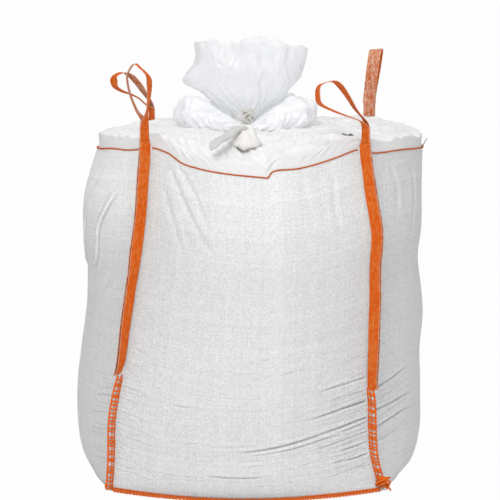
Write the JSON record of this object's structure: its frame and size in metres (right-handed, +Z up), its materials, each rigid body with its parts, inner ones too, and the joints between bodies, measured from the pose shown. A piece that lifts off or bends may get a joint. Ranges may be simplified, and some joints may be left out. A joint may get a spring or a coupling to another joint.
{
  "type": "bulk bag",
  "caption": "Filled woven bulk bag with corner seam lifting loops, a duffle skirt top and a tied film liner neck.",
  "frame": {"origin": "centre of the base, on the floor", "axes": "+Z up, front of the bag towards -Y, +X to the right of a person facing the front"},
  "size_m": [1.1875, 1.1821, 1.4639],
  "materials": {
    "woven_white": "white woven polypropylene tape fabric, satin",
    "webbing_orange": "orange woven webbing with a pale fleck",
    "thread_orange": "orange twisted sewing thread",
    "film": "clear crumpled polyethylene film",
    "pellets": "pale brown granular contents",
    "tie_white": "white plastic tie",
    "tape_grey": "grey-white flat tape"
  },
  "bodies": {
    "root": {"side_panel_front": "woven_white", "side_panel_right": "woven_white", "side_panel_back": "woven_white", "side_panel_left": "woven_white", "base_panel": "woven_white", "bulk_fill": "pellets", "inner_liner": "film", "liner_tie": "tie_white", "duffle_skirt": "woven_white", "corner_overlock_front_left": "thread_orange", "corner_overlock_front_right": "thread_orange", "corner_overlock_back_right": "thread_orange", "corner_overlock_back_left": "thread_orange", "base_overlock_front": "thread_orange", "base_overlock_right": "thread_orange", "base_overlock_back": "thread_orange", "base_overlock_left": "thread_orange", "hem_stitch_front": "thread_orange", "hem_stitch_right": "thread_orange", "hem_stitch_back": "thread_orange", "hem_stitch_left": "thread_orange", "strap_front_left_ply_a": "webbing_orange", "strap_front_left_ply_b": "webbing_orange", "strap_front_right_ply_a": "webbing_orange", "strap_front_right_ply_b": "webbing_orange", "strap_back_right_ply_a": "webbing_orange", "strap_back_right_ply_b": "webbing_orange", "strap_back_left_ply_a": "webbing_orange", "strap_back_left_ply_b": "webbing_orange", "strap_stitching_front_left": "thread_orange", "strap_stitching_front_right": "thread_orange", "strap_stitching_back_right": "thread_orange", "strap_stitching_back_left": "thread_orange", "seam_thread_tail": "thread_orange", "hem_thread_tail": "thread_orange"},
    "loop_base_front_left": {"loop_neck_front_left": "webbing_orange"},
    "loop_front_left": {"lift_loop_front_left": "webbing_orange"},
    "loop_base_front_right": {"loop_neck_front_right": "webbing_orange"},
    "loop_front_right": {"lift_loop_front_right": "webbing_orange"},
    "loop_base_back_right": {"loop_neck_back_right": "webbing_orange"},
    "loop_back_right": {"lift_loop_back_right": "webbing_orange"},
    "loop_base_back_left": {"loop_neck_back_left": "webbing_orange"},
    "loop_back_left": {"lift_loop_back_left": "webbing_orange"},
    "neck": {"liner_neck": "film"},
    "tape": {"skirt_tie_tape": "tape_grey"}
  },
  "joints": [
    {"name": "loop_flop_front_left", "type": "hinge", "parent": "root", "child": "loop_base_front_left", "pos_m": [-0.32751, -0.32751, 1.124], "axis": [-0.7071, -0.7071, 0], "range_deg": [-45, 45]},
    {"name": "loop_swing_front_left", "type": "hinge", "parent": "loop_base_front_left", "child": "loop_front_left", "pos_m": [-0.32751, -0.32751, 1.182], "axis": [0.7071, -0.7071, 0], "range_deg": [-40, 80]},
    {"name": "loop_flop_front_right", "type": "hinge", "parent": "root", "child": "loop_base_front_right", "pos_m": [0.37951, -0.37951, 1.124], "axis": [0.7071, -0.7071, 0], "range_deg": [-45, 20]},
    {"name": "loop_swing_front_right", "type": "hinge", "parent": "loop_base_front_right", "child": "loop_front_right", "pos_m": [0.37951, -0.37951, 1.182], "axis": [0.7071, 0.7071, 0], "range_deg": [-35, 80]},
    {"name": "loop_flop_back_right", "type": "hinge", "parent": "root", "child": "loop_base_back_right", "pos_m": [0.43851, 0.43851, 1.124], "axis": [0.7071, 0.7071, 0], "range_deg": [-45, 45]},
    {"name": "loop_swing_back_right", "type": "hinge", "parent": "loop_base_back_right", "child": "loop_back_right", "pos_m": [0.43851, 0.43851, 1.182], "axis": [-0.7071, 0.7071, 0], "range_deg": [-45, 80]},
    {"name": "loop_flop_back_left", "type": "hinge", "parent": "root", "child": "loop_base_back_left", "pos_m": [-0.33351, 0.33351, 1.124], "axis": [-0.7071, 0.7071, 0], "range_deg": [-45, 60]},
    {"name": "loop_swing_back_left", "type": "hinge", "parent": "loop_base_back_left", "child": "loop_back_left", "pos_m": [-0.33351, 0.33351, 1.182], "axis": [-0.7071, -0.7071, 0], "range_deg": [-45, 65]},
    {"name": "liner_neck_flop", "type": "hinge", "parent": "root", "child": "neck", "pos_m": [0, 0, 1.196], "axis": [1, 0, 0], "range_deg": [-30, 30]},
    {"name": "tie_tape_lift", "type": "hinge", "parent": "root", "child": "tape", "pos_m": [-0.008, -0.33, 1.18], "axis": [-0.7677, 0.6408, 0], "range_deg": [0, 80]}
  ]
}
